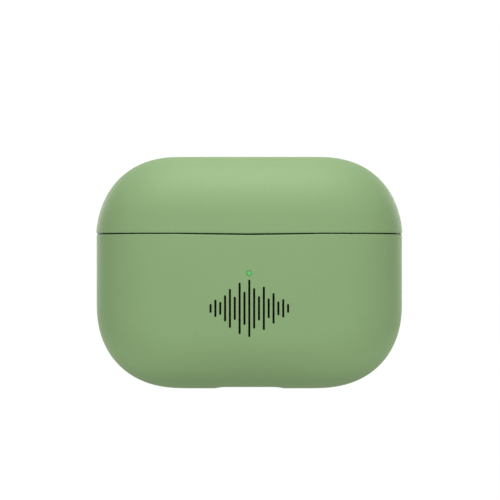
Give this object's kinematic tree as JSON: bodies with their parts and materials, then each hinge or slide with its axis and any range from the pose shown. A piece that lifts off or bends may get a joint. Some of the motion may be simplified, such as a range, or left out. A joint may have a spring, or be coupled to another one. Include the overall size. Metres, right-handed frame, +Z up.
{
  "type": "wireless earbuds case",
  "caption": "Pebble-shaped wireless earbuds charging case in a two-piece soft-touch cover, with a hinged lid, seated stem earbuds, pairing button and charging port.",
  "frame": {"origin": "centre of the flat underside, in the middle of the width and the depth, lid closed", "axes": "+X to the right across the width, -Y towards the front with the status light, +Y towards the hinge, +Z up"},
  "size_m": [0.0632, 0.0242, 0.0477],
  "materials": {
    "cover_green": "soft-touch matt, very fine grain",
    "grip_foam": "tacky adhesive pad",
    "case_white": "glossy",
    "inner_white": "satin",
    "hinge_steel": "fine satin brushed",
    "screw_steel": "plain machined",
    "cell_wrap": "dark foil wrap",
    "board_green": "solder mask",
    "dark_plastic": "matt moulded",
    "coil_copper": "enamelled copper",
    "ferrite_black": "matt sheet",
    "led_lens": "translucent, lit green",
    "magnet_nickel": "nickel plate",
    "contact_gold": "gold plate",
    "bud_white": "glossy",
    "tip_silicone": "matt silicone",
    "mesh_dark": "dark woven mesh",
    "driver_metal": "plain",
    "cell_steel": "plain can"
  },
  "bodies": {
    "sleeve": {"cover_sleeve": "cover_green"},
    "case": {"case_body_shell": "case_white", "cradle_tray": "inner_white", "hinge_body_bracket": "hinge_steel", "hinge_pin": "hinge_steel", "hinge_body_screws": "screw_steel", "battery_cell": "cell_wrap", "main_board": "board_green", "tact_switch": "screw_steel", "charging_coil": "coil_copper", "ferrite_sheet": "ferrite_black", "charge_port_shell": "hinge_steel", "charge_port_tongue": "dark_plastic", "port_board": "board_green", "status_led": "led_lens", "light_pipe": "led_lens", "led_board": "board_green", "body_closure_magnets": "magnet_nickel", "hall_sensor": "dark_plastic", "bud_magnets": "magnet_nickel", "left_contact_block": "dark_plastic", "right_contact_block": "dark_plastic"},
    "lid": {"case_lid_shell": "case_white", "lid_liner": "inner_white", "hinge_lid_leaf": "hinge_steel", "hinge_lid_screws": "screw_steel", "lid_closure_magnets": "magnet_nickel"},
    "cap": {"cover_cap": "cover_green", "cap_grip_strip": "grip_foam"},
    "button": {"pairing_button": "inner_white"},
    "plunger": {"tact_plunger": "dark_plastic"},
    "left_bud": {"left_bud_shell": "bud_white", "left_ear_tip": "tip_silicone", "left_nozzle_mesh": "mesh_dark", "left_vent_mesh": "mesh_dark", "left_driver": "driver_metal", "left_bud_cell": "cell_steel", "left_stem_board": "board_green", "left_bud_contacts": "contact_gold"},
    "right_bud": {"right_bud_shell": "bud_white", "right_ear_tip": "tip_silicone", "right_nozzle_mesh": "mesh_dark", "right_vent_mesh": "mesh_dark", "right_driver": "driver_metal", "right_bud_cell": "cell_steel", "right_stem_board": "board_green", "right_bud_contacts": "contact_gold"},
    "left_pins": {"left_contact_pins": "contact_gold"},
    "right_pins": {"right_contact_pins": "contact_gold"}
  },
  "joints": [
    {"name": "case_slide", "type": "slide", "parent": "sleeve", "child": "case", "axis": [0, 0, 1], "range_m": [0, 0.026]},
    {"name": "lid_hinge", "type": "hinge", "parent": "case", "child": "lid", "pos_m": [0, 0.00995, 0.0289], "axis": [-1, 0, 0], "range_deg": [0, 105]},
    {"name": "cap_slide", "type": "slide", "parent": "lid", "child": "cap", "axis": [0, 0, 1], "range_m": [0, 0.016]},
    {"name": "button_press", "type": "slide", "parent": "case", "child": "button", "axis": [0, -1, 0], "range_m": [0, 0.00035]},
    {"name": "plunger_press", "type": "slide", "parent": "case", "child": "plunger", "axis": [0, -1, 0], "range_m": [0, 0.00035]},
    {"name": "left_bud_lift", "type": "slide", "parent": "case", "child": "left_bud", "axis": [0, 0, 1], "range_m": [0, 0.0008]},
    {"name": "right_bud_lift", "type": "slide", "parent": "case", "child": "right_bud", "axis": [0, 0, 1], "range_m": [0, 0.0008]},
    {"name": "left_pins_lift", "type": "slide", "parent": "case", "child": "left_pins", "axis": [0, 0, 1], "range_m": [0, 0.0008]},
    {"name": "right_pins_lift", "type": "slide", "parent": "case", "child": "right_pins", "axis": [0, 0, 1], "range_m": [0, 0.0008]}
  ],
  "couplings": [
    {"joint": "plunger_press", "follows": "button_press", "ratio": 1},
    {"joint": "left_pins_lift", "follows": "left_bud_lift", "ratio": 1},
    {"joint": "right_pins_lift", "follows": "right_bud_lift", "ratio": 1}
  ]
}
